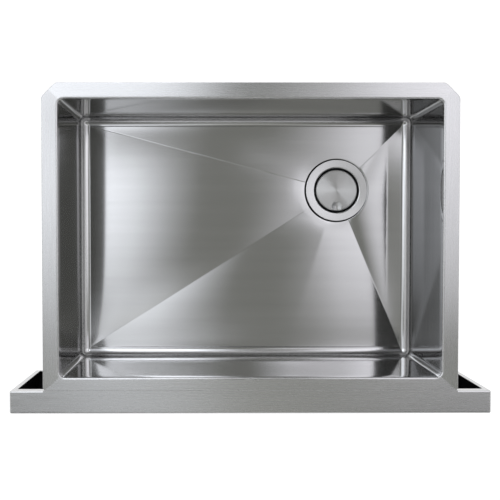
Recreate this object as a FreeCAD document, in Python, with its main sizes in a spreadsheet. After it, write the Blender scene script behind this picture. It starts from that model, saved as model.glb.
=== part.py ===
import FreeCAD, Part
import os
import Sketcher
from FreeCAD import Placement, Rotation, Vector

# A farmhouse sink in folded stainless sheet: one deep rectangular bowl with a flat flange on
# three sides, an apron pan that is wider than the bowl and closes its front, and a basket
# strainer in the back right of the floor with a lift-out basket and a loose cover.
#
# X runs to the right, Y to the back and Z up. The origin lies in the plane of the rim, at the
# middle of the bowl's mouth. All lengths are in millimetres.

DIMENSIONS = [
    ("SheetThickness", 1.5),
    # bowl
    ("BowlLength", 605),
    ("BowlWidth", 438),
    ("WallDepth", 250),
    ("FloorFall", 8),
    ("WallCorner", 10),
    ("FloorCorner", 15),
    ("RimRoll", 3),
    ("SideFlange", 25.4),
    ("BackFlange", 25.4),
    ("FlangeChamfer", 22),
    # apron
    ("ApronWidth", 762),
    ("ApronHeight", 203),
    ("ApronReach", 57.6),
    ("DeckDepth", 36.8),
    ("ApronBend", 3),
    ("EndLip", 10),
    ("DeckLip", 15),
    # braces between the bowl and the apron's lower edge
    ("BraceLength", 80),
    ("BraceHeight", 32),
    ("BraceSpacing", 460),
    # sound pads
    ("PadThickness", 3),
    ("PadCorner", 14),
    ("PadTop", 65),
    ("PadFoot", 195),
    ("FrontPadFoot", 160),
    ("SidePadLength", 228),
    ("EndPadLength", 302),
    ("FloorPadInset", 24),
    # drain seat in the floor
    ("DrainRight", 170),
    ("DrainBack", 87),
    ("RecessRadius", 60),
    ("RecessDepth", 3),
    ("RecessShoulder", 2),
    ("DrainHoleRadius", 45),
    # strainer body
    ("PuttyThickness", 1),
    ("StrainerFlangeRadius", 57),
    ("StrainerFlangeThickness", 2),
    ("NeckRadius", 43.2),
    ("NeckDepth", 40),
    ("SeatDepth", 48),
    ("SumpRadius", 32.5),
    ("SumpDepth", 61.5),
    ("OutletRadius", 23.8),
    ("OutletDepth", 82),
    ("OutletBore", 17.5),
    ("FlangeEdge", 0.8),
    ("ConeStep", 1.1),
    ("SpiderWidth", 3.2),
    ("HubRadius", 5.5),
    # parts that clamp the strainer from below
    ("PuttyRadius", 56),
    ("GasketThickness", 3.5),
    ("FibreThickness", 1),
    ("RingRadius", 55),
    ("RingClearance", 0.5),
    ("LocknutHeight", 12),
    ("LocknutRadius", 52),
    ("ShoulderHeight", 3),
    ("LugReach", 59),
    ("LugRoot", 50),
    ("LugWidth", 9),
    ("ThreadClearance", 0.1),
    # basket
    ("BasketSheet", 0.8),
    ("BasketRimRadius", 40.4),
    ("BasketMouthRadius", 38.4),
    ("BasketFootRadius", 32),
    ("BasketTop", 3),
    ("BasketFloor", 44),
    ("BasketHem", 1.4),
    ("BasketRimEdge", 0.48),
    ("BasketHoleRadius", 2.4),
    ("OuterHoleRing", 25),
    ("InnerHoleRing", 14.7),
    ("InnerHoleRadius", 2.16),
    ("StemRadius", 3),
    ("PostRadius", 3.5),
    ("CollarRadius", 7.5),
    ("CollarThickness", 1.6),
    ("ShoulderRadius", 6),
    ("StemEnd", 1),
    ("StemNutRadius", 6),
    ("StemNutHeight", 3.6),
    ("StopperRadius", 33.8),
    ("StopperFootRadius", 30.6),
    ("StopperLip", 1.6),
    ("StopperThickness", 3.8),
    # cover over the basket
    ("CoverRadius", 37),
    ("CoverSheet", 1.2),
    ("CoverEdge", 0.96),
    ("CoverDrop", 0.6),
    ("CoverSkirt", 4),
    ("DimpleOffset", 30),
    ("DimpleRadius", 10.5),
    ("DimpleDepth", 3),
    ("SocketRadius", 6.5),
    ("SlidingClearance", 0.08),
    # outlet below the strainer
    ("TailRadius", 19.05),
    ("TailWall", 1.2),
    ("TailLength", 100),
    ("TailRootRadius", 19.6),
    ("TailRootLength", 4),
    ("TailCollarRadius", 22.8),
    ("TailWasherThickness", 1.8),
    ("TailClearance", 0.3),
    ("CouplingRadius", 30),
    ("CouplingHeight", 24),
    ("CouplingLip", 3),
]

NEEDED_CLEARANCE = 0.3  # between parts that move past each other
MARGIN = 5  # how far a cutting tool runs past the face that it cuts
FOOT_SCALE = 0.05  # the floor facets stop this close to the drain's axis, inside its hole
WALL_HOLES = 20  # round the basket's wall, in each of three rows
FLOOR_HOLES = 12  # in each of the two rings of the basket's floor
LOCKNUT_LUGS = 6
SPIDER_ARMS = 4
COUPLING_SIDES = 8
STEM_NUT_SIDES = 6
TINY = 1e-6  # lengths below this count as nothing when edges are picked
CLOSE = 1e-3  # and edges this near a curved face count as lying on it
ORIGIN = -1  # the sketcher's number for its origin and horizontal axis
UPRIGHT_AXIS = -2

doc = FreeCAD.newDocument("apron_front_sink")
sheet = doc.addObject("Spreadsheet::Sheet", "Dims")
parts = []


class Size:
    """A length that carries both its number and the sheet formula behind it."""

    def __init__(self, value, formula):
        self.value = value
        self.formula = formula

    def joined(self, symbol, other, value):
        right = other.formula if isinstance(other, Size) else str(other)
        return Size(value, f"({self.formula} {symbol} {right})")

    def __add__(self, other):
        return self.joined("+", other, self.value + number(other))

    def __sub__(self, other):
        return self.joined("-", other, self.value - number(other))

    def __mul__(self, other):
        return self.joined("*", other, self.value * number(other))

    def __truediv__(self, other):
        return self.joined("/", other, self.value / number(other))

    def __neg__(self):
        return Size(-self.value, f"(0 - {self.formula})")


def number(size):
    return size.value if isinstance(size, Size) else size


def size_of(alias):
    return Size(float(sheet.get(alias)), f"Dims.{alias}")


def fill_sheet():
    for row, (alias, value) in enumerate(DIMENSIONS, 1):
        sheet.set(f"A{row}", alias)
        sheet.set(f"B{row}", str(value))
        sheet.setAlias(f"B{row}", alias)
    doc.recompute()


def bind(item, **sizes):
    """Tie an object's properties to the sheet."""
    for name, size in sizes.items():
        if isinstance(size, Size):
            item.setExpression(name, size.formula)
        else:
            setattr(item, name, size)


def place(item, x, y, z):
    for name, size in (("x", x), ("y", y), ("z", z)):
        if isinstance(size, Size):
            item.setExpression(f"Placement.Base.{name}", size.formula)


def keep(item, label):
    """Name a finished piece and add it to the pieces that are written out."""
    item.Label = label
    parts.append(item)
    return item


# Solid primitives and booleans


def box(name, left, right, front, back, low, high):
    solid = doc.addObject("Part::Box", name)
    bind(solid, Length=right - left, Width=back - front, Height=high - low)
    place(solid, left, front, low)
    return solid


def cylinder(name, radius, x, y, low, high):
    solid = doc.addObject("Part::Cylinder", name)
    bind(solid, Radius=radius, Height=high - low)
    place(solid, x, y, low)
    return solid


def prism(name, sides, radius, low, high):
    """A regular prism on the drain's axis."""
    solid = doc.addObject("Part::Prism", name)
    solid.Polygon = sides
    bind(solid, Circumradius=radius, Height=high - low)
    place(solid, drain_x, drain_y, low)
    return solid


def sphere(name, radius, x, y, z):
    ball = doc.addObject("Part::Sphere", name)
    bind(ball, Radius=radius)
    place(ball, x, y, z)
    return ball


def fuse(name, *shapes):
    union = doc.addObject("Part::MultiFuse", name)
    union.Shapes = list(shapes)
    return union


def cut(name, base, tool):
    difference = doc.addObject("Part::Cut", name)
    difference.Base = base
    difference.Tool = tool
    return difference


def common(name, *shapes):
    overlap = doc.addObject("Part::MultiCommon", name)
    overlap.Shapes = list(shapes)
    return overlap


def dress(kind, name, base, rules):
    """Round or chamfer the edges of base that each rule picks, at that rule's size."""
    doc.recompute()
    treated = doc.addObject(f"Part::{kind}", name)
    treated.Base = base
    edges = []
    for wanted, size in rules:
        for index, edge in enumerate(base.Shape.Edges, 1):
            if wanted(edge):
                edges.append((index, number(size), number(size)))
    treated.Edges = edges
    return treated


def upright(edge):
    return edge.BoundBox.XLength < TINY and edge.BoundBox.YLength < TINY


def at_height(size):
    height = number(size)

    def lies_there(edge):
        return edge.BoundBox.ZLength < TINY and abs(edge.BoundBox.ZMin - height) < TINY

    return lies_there


def every(edge):
    return True


# Sketches and turned bodies


def new_body(label):
    return keep(doc.addObject("PartDesign::Body", label), label)


def origin_plane(body, role):
    return next(plane for plane in body.Origin.OriginFeatures if plane.Role == role)


def new_sketch(body, name, role, offset=None):
    sketch = body.newObject("Sketcher::SketchObject", name)
    sketch.AttachmentSupport = [(origin_plane(body, role), "")]
    sketch.MapMode = "FlatFace"
    if offset is not None:
        sketch.AttachmentOffset = offset
    return sketch


def pin_point(sketch, geometry, end, x, y):
    """Hold one point of a sketch at a place that the sheet gives."""
    for kind, size, axis in (("DistanceX", x, UPRIGHT_AXIS), ("DistanceY", y, ORIGIN)):
        if isinstance(size, Size):
            rule = Sketcher.Constraint(kind, ORIGIN, 1, geometry, end, size.value)
            index = sketch.addConstraint(rule)
            sketch.setExpression(f"Constraints[{index}]", size.formula)
        else:
            sketch.addConstraint(Sketcher.Constraint("PointOnObject", geometry, end, axis))


def outline(sketch, points):
    """Draw a closed outline with every corner tied to the sheet. A bare 0 lies on an axis."""
    corners = [Vector(number(x), number(y), 0) for x, y in points]
    last = len(points)
    for index in range(last):
        sketch.addGeometry(Part.LineSegment(corners[index], corners[(index + 1) % last]))
    for index in range(last):
        following = (index + 1) % last
        sketch.addConstraint(Sketcher.Constraint("Coincident", index, 2, following, 1))
    for index, (x, y) in enumerate(points):
        pin_point(sketch, index, 1, x, y)


def circle(sketch, x, y, radius):
    centre = Vector(number(x), number(y), 0)
    index = sketch.addGeometry(Part.Circle(centre, Vector(0, 0, 1), radius.value))
    pin_point(sketch, index, 3, x, y)
    rule = sketch.addConstraint(Sketcher.Constraint("Radius", index, radius.value))
    sketch.setExpression(f"Constraints[{rule}]", radius.formula)


def turned(label, points):
    """A body turned about the drain's axis from its half section."""
    body = new_body(label)
    section = new_sketch(body, f"{label}_section", "XZ_Plane")
    outline(section, points)
    turn = body.newObject("PartDesign::Revolution", f"{label}_turn")
    turn.Profile = section
    turn.ReferenceAxis = (section, ["V_Axis"])
    turn.Angle = 360
    place(body, drain_x, drain_y, drain_top)
    return body


def ring(label, inner, outer, low, high):
    return turned(label, [(inner, low), (outer, low), (outer, high), (inner, high)])


def soften(body, name, radius, wanted):
    """Fillet the edges of a body that the test picks."""
    doc.recompute()
    base = body.Tip
    names = [f"Edge{n}" for n, edge in enumerate(base.Shape.Edges, 1) if wanted(edge)]
    fillet = body.newObject("PartDesign::Fillet", name)
    fillet.Base = (base, names)
    bind(fillet, Radius=radius)
    body.Tip = fillet


def round_edge(radius, height):
    """Pick the circular edge with this radius at this height in a body's own frame."""

    def wanted(edge):
        curve = edge.Curve
        if not isinstance(curve, Part.Circle):
            return False
        same_radius = abs(curve.Radius - number(radius)) < CLOSE
        return same_radius and abs(curve.Center.z - number(height)) < CLOSE

    return wanted


def pad(body, name, sketch, length, reverse=False, centred=False):
    feature = body.newObject("PartDesign::Pad", name)
    feature.Profile = sketch
    bind(feature, Length=length)
    feature.Reversed = reverse
    if centred:
        feature.SideType = "Symmetric"
    body.Tip = feature
    return feature


def drill(body, name, sketch, depth=None):
    """Cut a sketch through everything on one side of its plane, or to a depth on both sides."""
    doc.recompute()
    before = body.Shape.Volume
    feature = body.newObject("PartDesign::Pocket", name)
    feature.Profile = sketch
    if depth is None:
        feature.Type = "ThroughAll"
    else:
        bind(feature, Length=depth)
        feature.SideType = "Symmetric"
    body.Tip = feature
    doc.recompute()
    if body.Shape.Volume > before - 1:
        raise RuntimeError(f"{name} cuts nothing")
    return feature


def sketch_at(body, name, height):
    """A level sketch in a body's own frame."""
    level = Placement(Vector(0, 0, height.value), Rotation())
    sketch = new_sketch(body, name, "XY_Plane", level)
    sketch.setExpression("AttachmentOffset.Base.z", height.formula)
    return sketch


def repeat_round(body, name, feature, count):
    """Repeat a feature round the body's upright axis."""
    pattern = body.newObject("PartDesign::PolarPattern", name)
    pattern.Originals = [feature]
    pattern.Axis = (origin_plane(body, "Z_Axis"), [""])
    pattern.Angle = 360
    pattern.Occurrences = count
    body.Tip = pattern


fill_sheet()

# Driving sizes and the planes worked out from them

metal = size_of("SheetThickness")
bowl_x = size_of("BowlLength") / 2
bowl_y = size_of("BowlWidth") / 2
wall_foot = -size_of("WallDepth")
floor_fall = size_of("FloorFall")
floor_corner = size_of("FloorCorner")
wall_corner = size_of("WallCorner")
flange_x = bowl_x + size_of("SideFlange")
flange_back = bowl_y + size_of("BackFlange")
apron_face = -(bowl_y + size_of("ApronReach"))
deck_rear = apron_face + size_of("DeckDepth")
apron_x = size_of("ApronWidth") / 2
apron_foot = -size_of("ApronHeight")
end_lip = size_of("EndLip")
deck_lip = size_of("DeckLip")
pad_thickness = size_of("PadThickness")

drain_x = size_of("DrainRight")
drain_y = size_of("DrainBack")
seat = wall_foot - floor_fall - size_of("RecessDepth")
putty = size_of("PuttyThickness")
strainer_flange = size_of("StrainerFlangeThickness")
drain_top = seat + putty + strainer_flange
recess = size_of("RecessRadius")
drain_hole = size_of("DrainHoleRadius")
neck = size_of("NeckRadius")


# Bowl


def tub(name, thickness, top):
    """The bowl's volume grown outwards by a thickness, before its floor is pitched."""
    side = bowl_x + thickness
    front = bowl_y + thickness
    foot = wall_foot - thickness
    block = box(f"{name}_block", -side, side, -front, front, foot, top)
    rules = [
        (upright, wall_corner + thickness),
        (at_height(foot), floor_corner + thickness),
    ]
    return dress("Fillet", name, block, rules)


def pitched_floor(name, drop):
    """Four facets that fall from the foot of the walls to the drain, with creases between."""
    side = bowl_x - floor_corner
    front = bowl_y - floor_corner
    pyramid = doc.addObject("Part::Wedge", name)
    near = 1 - FOOT_SCALE
    bind(
        pyramid,
        Xmin=-side,
        Xmax=side,
        Zmin=-front,
        Zmax=front,
        X2min=drain_x * near - side * FOOT_SCALE,
        X2max=drain_x * near + side * FOOT_SCALE,
        Z2min=drain_y * near - front * FOOT_SCALE,
        Z2max=drain_y * near + front * FOOT_SCALE,
        Ymin=drop - wall_foot,
        Ymax=drop - wall_foot + floor_fall * near,
    )
    pyramid.Placement = Placement(Vector(0, 0, 0), Rotation(Vector(1, 0, 0), -90))
    return pyramid


def bowl_shell():
    nothing = metal * 0
    plate = box("flange_plate", -flange_x, flange_x, deck_rear, flange_back, -metal, nothing)
    doc.recompute()
    back = flange_back.value

    def back_corner(edge):
        return upright(edge) and abs(edge.BoundBox.YMin - back) < TINY

    chamfer = [(back_corner, size_of("FlangeChamfer"))]
    flange = dress("Chamfer", "flange", plate, chamfer)
    outer = fuse(
        "bowl_outer",
        flange,
        tub("tub_outer", metal, nothing),
        pitched_floor("floor_outer", metal),
        cylinder("recess_outer", recess + metal, drain_x, drain_y, seat - metal, wall_foot),
    )
    inner = fuse(
        "bowl_inner",
        tub("tub_inner", nothing, nothing + MARGIN),
        pitched_floor("floor_inner", nothing),
        cylinder("recess_inner", recess, drain_x, drain_y, seat, wall_foot),
        cylinder("drain_hole", drain_hole, drain_x, drain_y, seat - MARGIN, wall_foot),
    )
    folded = cut("bowl_folded", outer, inner)

    def round_the_mouth(height, thickness):
        side = number(bowl_x + thickness) + CLOSE
        front = number(bowl_y + thickness) + CLOSE
        level = at_height(height)

        def wanted(edge):
            bounds = edge.BoundBox
            inside = bounds.XMax < side and bounds.XMin > -side
            return level(edge) and inside and bounds.YMax < front and bounds.YMin > -front

        return wanted

    def on_recess(edge):
        span = edge.LastParameter - edge.FirstParameter
        points = [edge.valueAt(edge.FirstParameter + span * step / 4) for step in range(5)]
        spreads = [(point - drain_axis).cross(Vector(0, 0, 1)).Length for point in points]
        return all(abs(spread - recess.value) < CLOSE for spread in spreads)

    def recess_foot(edge):
        return on_recess(edge) and at_height(seat)(edge)

    def recess_shoulder(edge):
        return on_recess(edge) and edge.BoundBox.ZMin > seat.value + 1

    drain_axis = Vector(drain_x.value, drain_y.value, 0)
    roll = size_of("RimRoll")
    rules = [
        (round_the_mouth(nothing, nothing), roll),
        (round_the_mouth(-metal, metal), roll - metal),
        (recess_shoulder, size_of("RecessShoulder")),
        (recess_foot, metal),
    ]
    keep(dress("Fillet", "bowl_shell", folded, rules), "bowl_shell")


# Apron


def apron_pan():
    """A folded pan, open at the back, with lips turned in round the opening."""
    nothing = metal * 0
    bend = size_of("ApronBend")
    skin = box("apron_block", -apron_x, apron_x, apron_face, deck_rear, apron_foot, nothing)
    hollow = box(
        "apron_hollow",
        metal - apron_x,
        apron_x - metal,
        apron_face + metal,
        deck_rear - metal,
        apron_foot + metal,
        -metal,
    )
    lips_inside = box(
        "apron_window",
        end_lip - apron_x,
        apron_x - end_lip,
        deck_rear - metal * 2,
        deck_rear + MARGIN,
        apron_foot + end_lip,
        -deck_lip,
    )
    behind_bowl = box(
        "apron_gap_behind_deck",
        metal - flange_x,
        flange_x - metal,
        deck_rear - metal * 2,
        deck_rear + MARGIN,
        -deck_lip * 2,
        -metal,
    )
    # between the ears the deck runs on flat, to meet the bowl's front flange
    tongue = box(
        "deck_tongue",
        -flange_x,
        flange_x,
        deck_rear - bend * 2,
        deck_rear,
        -metal,
        nothing,
    )
    rounded_skin = dress("Fillet", "apron_skin", skin, [(every, bend)])
    rounded_hollow = dress("Fillet", "apron_inside", hollow, [(every, bend - metal)])
    solid = fuse("apron_solid", rounded_skin, tongue)
    voids = fuse("apron_voids", rounded_hollow, lips_inside, behind_bowl)
    keep(cut("apron_pan", solid, voids), "apron_pan")


def brace(label, side):
    """A J-shaped channel from the bowl's front wall to the apron's lower lip."""
    body = new_body(label)
    wall = -(bowl_y + metal)
    top = apron_foot + size_of("BraceHeight")
    short_top = apron_foot + end_lip
    section = new_sketch(body, f"{label}_section", "YZ_Plane")
    outline(
        section,
        [
            (wall, apron_foot),
            (wall, top),
            (wall - metal, top),
            (wall - metal, apron_foot + metal),
            (deck_rear + metal, apron_foot + metal),
            (deck_rear + metal, short_top),
            (deck_rear, short_top),
            (deck_rear, apron_foot),
        ],
    )
    pad(body, f"{label}_length", section, size_of("BraceLength"), centred=True)
    foot = apron_foot.value
    inner_foot = foot + metal.value

    def bend_at(height):
        def wanted(edge):
            bounds = edge.BoundBox
            along = bounds.YLength < TINY and bounds.ZLength < TINY
            return along and abs(bounds.ZMin - height) < TINY

        return wanted

    soften(body, f"{label}_outer_bend", metal * 2, bend_at(foot))
    soften(body, f"{label}_inner_bend", metal, bend_at(inner_foot))
    place(body, size_of("BraceSpacing") / 2 * side, 0, 0)


# Sound pads


def wall_pad(label, left, right, front, back, low, high, across):
    """A rubber sheet with rounded corners, stuck on the outside of a wall."""
    sheet_pad = box(f"{label}_sheet", left, right, front, back, low, high)

    def through(edge):
        bounds = edge.BoundBox
        thickness = bounds.XLength if across == "x" else bounds.YLength
        other = bounds.YLength if across == "x" else bounds.XLength
        return thickness > 1 and other < TINY and bounds.ZLength < TINY

    corner = size_of("PadCorner")
    keep(dress("Fillet", label, sheet_pad, [(through, corner)]), label)


def wall_pads():
    side = bowl_x + metal
    face = bowl_y + metal
    pad_low = -size_of("PadFoot")
    front_low = -size_of("FrontPadFoot")
    pad_high = -size_of("PadTop")
    depth = size_of("SidePadLength") / 2
    width = size_of("EndPadLength") / 2
    pads = [
        ("sound_pad_left", -(side + pad_thickness), -side, -depth, depth, "x"),
        ("sound_pad_right", side, side + pad_thickness, -depth, depth, "x"),
        ("sound_pad_back", -width, width, face, face + pad_thickness, "y"),
        ("sound_pad_front", -width, width, -(face + pad_thickness), -face, "y"),
    ]
    for label, left, right, front, back, across in pads:
        foot = front_low if label == "sound_pad_front" else pad_low
        wall_pad(label, left, right, front, back, foot, pad_high, across)


def floor_pad():
    """A rubber sheet under the pitched floor, creased like it and cut out round the drain."""
    inset = size_of("FloorPadInset")
    side = bowl_x - inset
    front = bowl_y - inset
    under = metal + pad_thickness
    top = wall_foot - metal
    low = wall_foot - floor_fall * 2 - under
    slab = box("pad_slab", -side, side, -front, front, wall_foot - under, top)
    below = fuse("pad_below", slab, pitched_floor("pad_facets", under))
    layer = cut("pad_layer", below, pitched_floor("pad_upper_facets", metal))
    footprint = box("pad_footprint", -side, side, -front, front, low, top)
    rounded = dress("Fillet", "pad_outline", footprint, [(upright, size_of("PadCorner"))])
    sheet_pad = common("pad_sheet", layer, rounded)
    clear = recess + metal + floor_corner
    round_drain = cylinder("pad_cut_out", clear, drain_x, drain_y, low, top)
    keep(cut("sound_pad_floor", sheet_pad, round_drain), "sound_pad_floor")


# Basket strainer. Heights below are from the top of its flange, which is drain_top.


def strainer_body():
    """A deep drawn cup with a flange on the floor, a cone for the stopper and an outlet."""
    flange_radius = size_of("StrainerFlangeRadius")
    top = metal * 0
    flange_foot = -strainer_flange
    neck_foot = -size_of("NeckDepth")
    cone_foot = -size_of("SeatDepth")
    sump = size_of("SumpRadius")
    sump_foot = -size_of("SumpDepth")
    outlet = size_of("OutletRadius")
    outlet_foot = -size_of("OutletDepth")
    bore = size_of("OutletBore")
    step = size_of("ConeStep")
    body = turned(
        "strainer_body",
        [
            (neck - metal, 0),
            (flange_radius, 0),
            (flange_radius, flange_foot),
            (neck, flange_foot),
            (neck, neck_foot - step),
            (sump, cone_foot - step),
            (sump, sump_foot),
            (outlet, sump_foot),
            (outlet, outlet_foot),
            (bore, outlet_foot),
            (bore, sump_foot + metal),
            (sump - metal, sump_foot + metal),
            (sump - metal, cone_foot),
            (neck - metal, neck_foot),
        ],
    )
    hub = sketch_at(body, "spider_hub", sump_foot)
    circle(hub, 0, 0, size_of("HubRadius"))
    pad(body, "spider_hub_pad", hub, metal)
    arm = sketch_at(body, "spider_arm", sump_foot)
    half = size_of("SpiderWidth") / 2
    outlet_wall = bore + metal
    outline(arm, [(half, -half), (outlet_wall, -half), (outlet_wall, half), (half, half)])
    one_arm = pad(body, "spider_arm_pad", arm, metal)
    doc.recompute()
    repeat_round(body, "spider_arms", one_arm, SPIDER_ARMS)
    soften(body, "flange_rim", size_of("FlangeEdge"), round_edge(flange_radius, top))
    soften(body, "flange_roll", strainer_flange, round_edge(neck - metal, top))


def clamping_stack():
    """Putty above the floor, and gasket, fibre ring and locknut below it."""
    seat_top = -(strainer_flange + putty)
    seat_foot = seat_top - metal
    gasket_foot = seat_foot - size_of("GasketThickness")
    fibre_foot = gasket_foot - size_of("FibreThickness")
    nut_foot = fibre_foot - size_of("LocknutHeight")
    clear = neck + size_of("ThreadClearance")
    loose = neck + size_of("RingClearance")
    putty_radius = size_of("PuttyRadius")
    shoulder = size_of("RingRadius")
    ring("putty_ring", drain_hole + 1, putty_radius, seat_top, -strainer_flange)
    ring("drain_gasket", loose, putty_radius, gasket_foot, seat_foot)
    ring("fibre_washer", loose, shoulder, fibre_foot, gasket_foot)
    nut_radius = size_of("LocknutRadius")
    shoulder_foot = fibre_foot - size_of("ShoulderHeight")
    nut = turned(
        "locknut",
        [
            (clear, fibre_foot),
            (shoulder, fibre_foot),
            (shoulder, shoulder_foot),
            (nut_radius, shoulder_foot),
            (nut_radius, nut_foot),
            (clear, nut_foot),
        ],
    )
    lug = sketch_at(nut, "locknut_lug", nut_foot)
    half = size_of("LugWidth") / 2
    reach = size_of("LugReach")
    root = size_of("LugRoot")
    outline(lug, [(root, -half), (reach, -half), (reach, half), (root, half)])
    one_lug = pad(nut, "locknut_lug_pad", lug, size_of("LocknutHeight"))
    doc.recompute()
    repeat_round(nut, "locknut_lugs", one_lug, LOCKNUT_LUGS)


def basket_cup():
    """The lift-out cup: a rolled rim, a tapered wall with rows of holes, a holed floor."""
    thin = size_of("BasketSheet")
    rim = size_of("BasketRimRadius")
    mouth = size_of("BasketMouthRadius")
    foot = size_of("BasketFootRadius")
    top = -size_of("BasketTop")
    rim_foot = top - size_of("BasketHem")
    floor = -size_of("BasketFloor")
    stem_hole = size_of("StemRadius") + size_of("ThreadClearance")
    cup = turned(
        "basket_cup",
        [
            (mouth, top),
            (rim, top),
            (rim, rim_foot),
            (mouth + thin, rim_foot),
            (foot, floor),
            (stem_hole, floor),
            (stem_hole, floor + thin),
            (foot - thin, floor + thin),
        ],
    )
    soften(cup, "basket_rim_top", size_of("BasketRimEdge"), round_edge(rim, top))
    hole = size_of("BasketHoleRadius")
    pitch = -floor / 4
    straight = new_sketch(cup, "wall_holes", "XZ_Plane")
    for row in (1, 3):
        circle(straight, 0, floor + pitch * row, hole)
    wall = drill(cup, "wall_hole", straight)
    repeat_round(cup, "wall_hole_rows", wall, WALL_HOLES)
    half_step = Placement(Vector(0, 0, 0), Rotation(Vector(0, 1, 0), 180 / WALL_HOLES))
    between = new_sketch(cup, "middle_holes", "XZ_Plane", half_step)
    circle(between, 0, floor + pitch * 2, hole)
    middle = drill(cup, "middle_hole", between)
    repeat_round(cup, "middle_hole_row", middle, WALL_HOLES)
    below = sketch_at(cup, "floor_holes", floor)
    circle(below, size_of("OuterHoleRing"), 0, hole)
    circle(below, size_of("InnerHoleRing"), 0, size_of("InnerHoleRadius"))
    pair = drill(cup, "floor_hole", below, thin * 2)
    repeat_round(cup, "floor_hole_rings", pair, FLOOR_HOLES)


def basket_fittings():
    """The post that carries the cover, the rubber stopper below the cup and its nut."""
    floor = -size_of("BasketFloor")
    stem = size_of("StemRadius")
    post = size_of("PostRadius")
    stopper_foot = floor - size_of("StopperThickness")
    nut_height = size_of("StemNutHeight")
    end = stopper_foot - nut_height - size_of("StemEnd")
    collar = size_of("CollarRadius")
    collar_foot = floor + size_of("BasketSheet")
    collar_top = collar_foot + size_of("CollarThickness")
    shoulder = size_of("ShoulderRadius")
    shoulder_top = socket_foot() - NEEDED_CLEARANCE
    shoulder_foot = shoulder_top - size_of("CollarThickness")
    post_top = socket_ceiling() - NEEDED_CLEARANCE
    turned(
        "basket_stem",
        [
            (0, end),
            (stem, end),
            (stem, collar_foot),
            (collar, collar_foot),
            (collar, collar_top),
            (stem, collar_top),
            (stem, shoulder_foot),
            (shoulder, shoulder_foot),
            (shoulder, shoulder_top),
            (post, shoulder_top),
            (post, post_top),
            (0, post_top),
        ],
    )
    clear = stem + size_of("ThreadClearance")
    wide = size_of("StopperRadius")
    turned(
        "basket_stopper",
        [
            (clear, floor),
            (wide, floor),
            (wide, floor - size_of("StopperLip")),
            (size_of("StopperFootRadius"), stopper_foot),
            (clear, stopper_foot),
        ],
    )
    nut_top = drain_top + stopper_foot
    nut_low = nut_top - nut_height
    block = prism("stem_nut_block", STEM_NUT_SIDES, size_of("StemNutRadius"), nut_low, nut_top)
    bore = cylinder("stem_nut_bore", clear, drain_x, drain_y, nut_low - 1, nut_top + 1)
    keep(cut("stem_nut", block, bore), "stem_nut")


# Cover. It stands on the basket's post and lifts off it.


def cover_underside():
    return -(size_of("CoverDrop") + size_of("CoverSheet"))


def socket_ceiling():
    return cover_underside() - size_of("CoverSheet")


def socket_foot():
    return socket_ceiling() - size_of("SocketRadius")


def drain_cover():
    """A spun disc with a short skirt and a thumb dimple that breaks through its rim."""
    radius = size_of("CoverRadius")
    sheet_metal = size_of("CoverSheet")
    top = drain_top - size_of("CoverDrop")
    skirt_foot = top - size_of("CoverSkirt")
    disc = cylinder("cover_disc", radius, drain_x, drain_y, skirt_foot, top)
    rim = dress("Fillet", "cover_rounded", disc, [(at_height(top), size_of("CoverEdge"))])
    under = top - sheet_metal
    inside = cylinder(
        "cover_inside", radius - sheet_metal, drain_x, drain_y, skirt_foot - MARGIN, under
    )
    cap = cut("cover_cap", rim, inside)
    dimple = size_of("DimpleRadius")
    depth = size_of("DimpleDepth")
    # the ball whose cap is as wide and deep as the dimple
    ball = (dimple * dimple / depth + depth) / 2
    height = top + ball - depth
    front = drain_y - size_of("DimpleOffset")
    dish_reach = cylinder("dish_reach", radius, drain_x, drain_y, top - ball, top)
    dish_outer = sphere("dish_outer", ball + sheet_metal, drain_x, front, height)
    formed = fuse("cover_formed", cap, common("dish", dish_outer, dish_reach))
    thumb_ball = sphere("thumb_ball", ball, drain_x, front, height)
    keep(cut("drain_cover", formed, thumb_ball), "drain_cover")


def cover_socket():
    """A plastic socket under the cover that slips over the basket's post."""
    outer = size_of("SocketRadius")
    bore = size_of("PostRadius") + size_of("SlidingClearance")
    turned(
        "cover_socket",
        [
            (0, cover_underside()),
            (outer, cover_underside()),
            (outer, socket_foot()),
            (bore, socket_foot()),
            (bore, socket_ceiling()),
            (0, socket_ceiling()),
        ],
    )


# Outlet below the strainer


def outlet():
    """A tube with a flared top and a thicker root, hung from the strainer by its nut."""
    foot = -size_of("OutletDepth")
    bore = size_of("OutletBore")
    tail = size_of("TailRadius")
    wall = size_of("TailWall")
    collar = size_of("TailCollarRadius")
    clear = size_of("TailClearance")
    washer_foot = foot - size_of("TailWasherThickness")
    tail_top = washer_foot - wall
    tail_end = tail_top - size_of("TailLength")
    root = size_of("TailRootRadius")
    root_foot = tail_top - size_of("TailRootLength")
    ring("tailpiece_washer", bore + clear, collar, washer_foot, foot)
    turned(
        "tailpiece",
        [
            (tail - wall, washer_foot),
            (collar, washer_foot),
            (collar, tail_top),
            (root, tail_top),
            (root, root_foot + root - tail),
            (tail, root_foot),
            (tail, tail_end),
            (tail - wall, tail_end),
        ],
    )
    ledge = drain_top + tail_top
    low = ledge - size_of("CouplingLip")
    high = low + size_of("CouplingHeight")
    past = high + MARGIN
    block = prism("coupling_block", COUPLING_SIDES, size_of("CouplingRadius"), low, high)
    thread = size_of("OutletRadius") + size_of("ThreadClearance")
    wide = cylinder("coupling_thread", thread, drain_x, drain_y, ledge, past)
    narrow = cylinder("coupling_throat", root + clear, drain_x, drain_y, low - MARGIN, past)
    keep(cut("coupling_nut", block, fuse("coupling_bores", wide, narrow)), "coupling_nut")


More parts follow.
